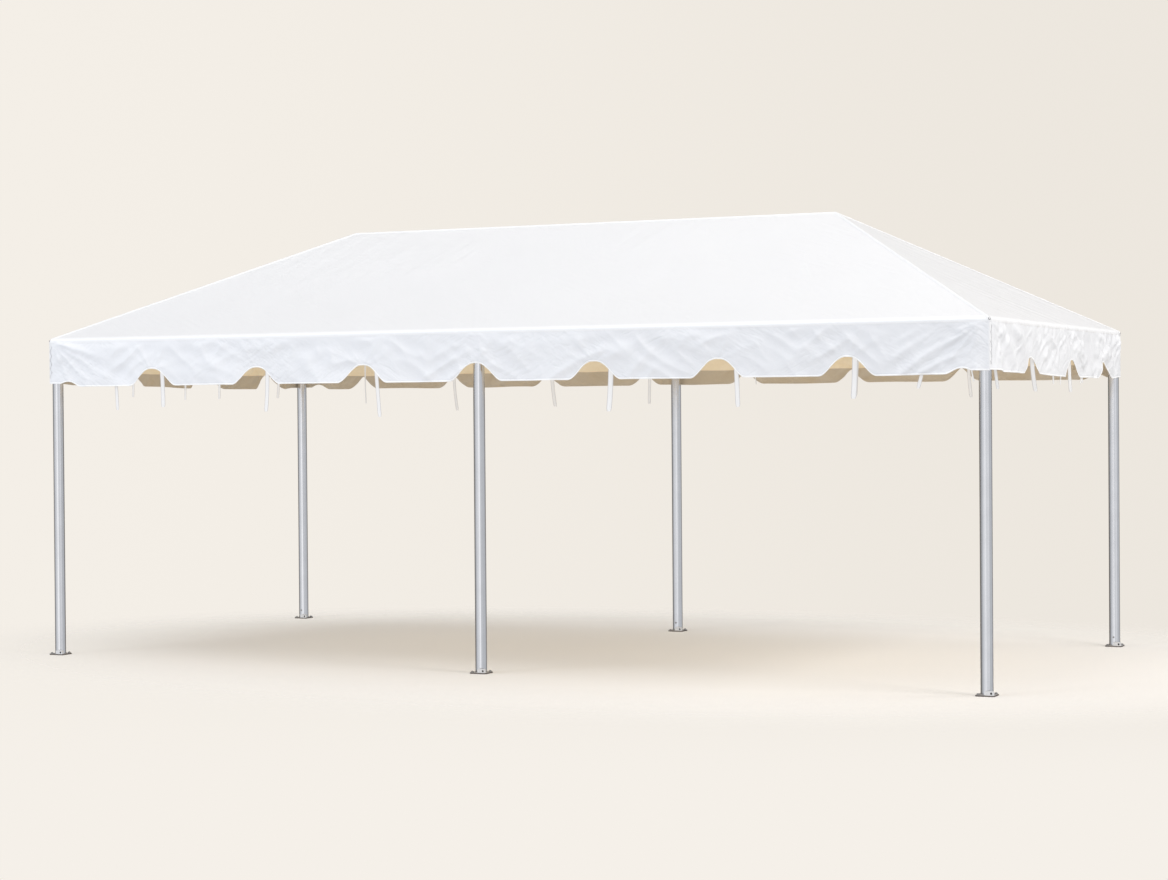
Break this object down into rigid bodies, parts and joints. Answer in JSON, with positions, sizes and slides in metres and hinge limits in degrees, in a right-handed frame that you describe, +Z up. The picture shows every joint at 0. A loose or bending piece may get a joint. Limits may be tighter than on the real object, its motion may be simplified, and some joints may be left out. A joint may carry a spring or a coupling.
{
  "type": "frame marquee tent",
  "caption": "Free-standing frame marquee: a hipped white fabric roof with scalloped valances on slim aluminium legs with square base plates.",
  "frame": {"origin": "on the ground, at the centre of the footprint", "axes": "+X along the long sides, +Z up, the front long side faces -Y"},
  "size_m": [6.105, 2.975, 2.6899],
  "materials": {
    "leg_tube": "satin drawn tube",
    "frame_tube": "satin drawn tube",
    "fitting": "zinc plated steel",
    "roof_fabric": "white coated canopy fabric",
    "valance_fabric": "white coated canopy fabric",
    "tie_webbing": "woven white webbing"
  },
  "bodies": {
    "root": {"leg_front_left": "leg_tube", "leg_front_middle": "leg_tube", "leg_front_right": "leg_tube", "leg_back_left": "leg_tube", "leg_back_middle": "leg_tube", "leg_back_right": "leg_tube", "base_plate_front_left": "fitting", "base_plate_front_middle": "fitting", "base_plate_front_right": "fitting", "base_plate_back_left": "fitting", "base_plate_back_middle": "fitting", "base_plate_back_right": "fitting", "eave_rail_front_left": "frame_tube", "eave_rail_front_right": "frame_tube", "eave_rail_back_left": "frame_tube", "eave_rail_back_right": "frame_tube", "eave_rail_left": "frame_tube", "eave_rail_right": "frame_tube", "ridge_pipe_left": "frame_tube", "ridge_pipe_right": "frame_tube", "hip_rafter_front_left": "frame_tube", "hip_rafter_front_right": "frame_tube", "hip_rafter_back_left": "frame_tube", "hip_rafter_back_right": "frame_tube", "middle_rafter_front": "frame_tube", "middle_rafter_back": "frame_tube", "corner_fitting_front_left": "fitting", "corner_fitting_front_right": "fitting", "corner_fitting_back_left": "fitting", "corner_fitting_back_right": "fitting", "side_fitting_front": "fitting", "side_fitting_back": "fitting", "crown_fitting_left": "fitting", "crown_fitting_right": "fitting", "ridge_fitting": "fitting", "roof_panel_front": "roof_fabric", "roof_panel_back": "roof_fabric", "roof_panel_left": "roof_fabric", "roof_panel_right": "roof_fabric", "valance_front": "valance_fabric", "valance_back": "valance_fabric", "valance_left": "valance_fabric", "valance_right": "valance_fabric", "tie_band_front": "tie_webbing", "tie_band_back": "tie_webbing", "tie_band_left": "tie_webbing", "tie_band_right": "tie_webbing"}
  },
  "joints": []
}
